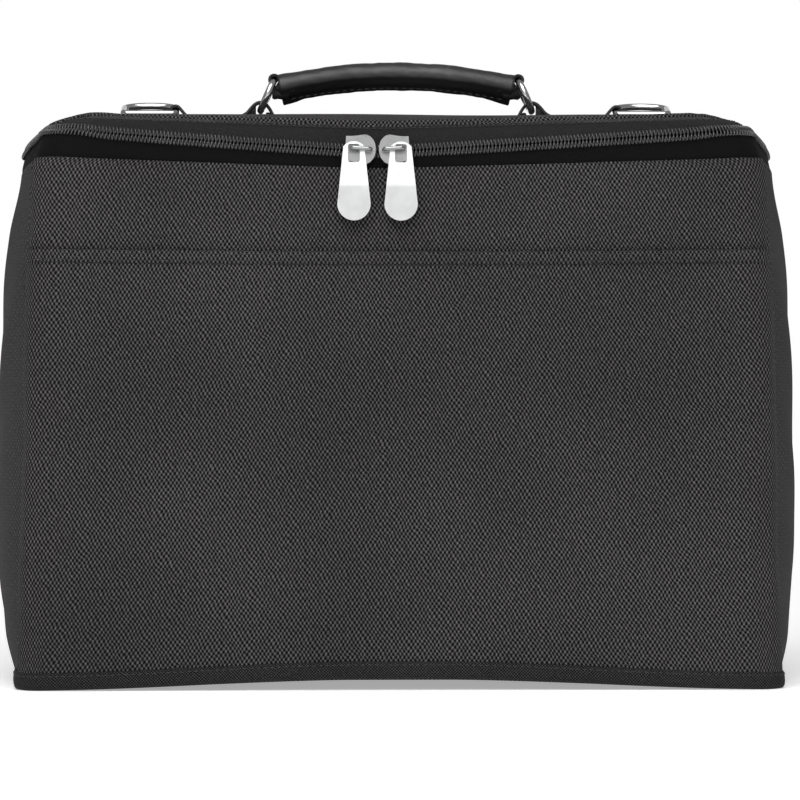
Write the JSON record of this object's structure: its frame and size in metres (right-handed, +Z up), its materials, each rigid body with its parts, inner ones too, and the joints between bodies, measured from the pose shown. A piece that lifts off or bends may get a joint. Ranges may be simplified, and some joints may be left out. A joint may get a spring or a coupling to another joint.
{
  "type": "flight bag",
  "caption": "Soft boxy flight bag with a domed zip-round lid, front slip pocket, arched leather grip on rings and D rings for a shoulder strap.",
  "frame": {"origin": "on the floor, under the middle of the bag", "axes": "+Z up, +X to the right seen from the front, +Y to the back; the front faces -Y"},
  "size_m": [0.408, 0.1948, 0.314],
  "materials": {
    "ballistic_nylon": "coarse basket weave, dull sheen",
    "plain_nylon": "plain weave, dull",
    "zip_tape": "fine twill tape",
    "zip_coil": "moulded nylon coil, low sheen",
    "foam": "closed-cell foam board",
    "lining_cloth": "smooth packcloth",
    "board": "fluted plastic board",
    "webbing": "ribbed webbing",
    "brushed_metal": "brushed satin nickel",
    "ring_metal": "polished nickel",
    "grip_leather": "smooth black leather, soft sheen"
  },
  "bodies": {
    "bag": {"front_panel": "ballistic_nylon", "front_pocket": "ballistic_nylon", "pocket_hem": "plain_nylon", "back_panel": "ballistic_nylon", "left_gusset": "ballistic_nylon", "right_gusset": "ballistic_nylon", "bottom_panel": "ballistic_nylon", "bottom_binding": "plain_nylon", "base_board": "board", "front_foam": "foam", "back_foam": "foam", "left_foam": "foam", "right_foam": "foam", "lining": "lining_cloth", "lower_zip_tape": "zip_tape", "lower_zip_coil": "zip_coil", "left_zip_end_tab": "plain_nylon", "right_zip_end_tab": "plain_nylon", "hinge_cloth_lower": "plain_nylon"},
    "lid": {"lid_panel": "ballistic_nylon", "lid_border": "plain_nylon", "hinge_cloth_upper": "plain_nylon", "lid_foam": "foam", "lid_lining": "lining_cloth", "upper_zip_coil": "zip_coil", "left_anchor": "webbing", "right_anchor": "webbing"},
    "handle": {"handle_grip": "grip_leather", "handle_core": "board", "left_hand_loop": "webbing", "right_hand_loop": "webbing", "left_handle_ring": "ring_metal", "right_handle_ring": "ring_metal"},
    "left_slider": {"left_slider": "brushed_metal"},
    "right_slider": {"right_slider": "brushed_metal"},
    "left_pull": {"left_pull": "brushed_metal"},
    "right_pull": {"right_pull": "brushed_metal"},
    "left_strap_ring": {"left_strap_ring": "ring_metal"},
    "right_strap_ring": {"right_strap_ring": "ring_metal"}
  },
  "joints": [
    {"name": "lid_hinge", "type": "hinge", "parent": "bag", "child": "lid", "pos_m": [0, 0.06767, 0.2755], "axis": [-1, 0, 0], "range_deg": [0, 165]},
    {"name": "handle_fold", "type": "hinge", "parent": "lid", "child": "handle", "pos_m": [0, 0.004, 0.29736], "axis": [1, 0, 0], "range_deg": [-45, 45]},
    {"name": "left_slider_slide", "type": "slide", "parent": "bag", "child": "left_slider", "axis": [-0.9979, 0.0097, 0.0647], "range_m": [0, 0.06]},
    {"name": "right_slider_slide", "type": "slide", "parent": "bag", "child": "right_slider", "axis": [0.9984, 0.0084, 0.0557], "range_m": [0, 0.06]},
    {"name": "left_pull_swing", "type": "hinge", "parent": "left_slider", "child": "left_pull", "pos_m": [-0.01885, -0.08066, 0.26611], "axis": [0, 0.9889, -0.1483], "range_deg": [0, 25]},
    {"name": "right_pull_swing", "type": "hinge", "parent": "right_slider", "child": "right_pull", "pos_m": [-0.00375, -0.08067, 0.26604], "axis": [0, -0.9889, 0.1483], "range_deg": [0, 25]},
    {"name": "left_strap_ring_swing", "type": "hinge", "parent": "lid", "child": "left_strap_ring", "pos_m": [-0.113, 0.004, 0.2894], "axis": [0, 0.9563, 0.2924], "range_deg": [0, 100]},
    {"name": "right_strap_ring_swing", "type": "hinge", "parent": "lid", "child": "right_strap_ring", "pos_m": [0.113, 0.004, 0.2894], "axis": [0, -0.9563, -0.2924], "range_deg": [0, 100]}
  ]
}
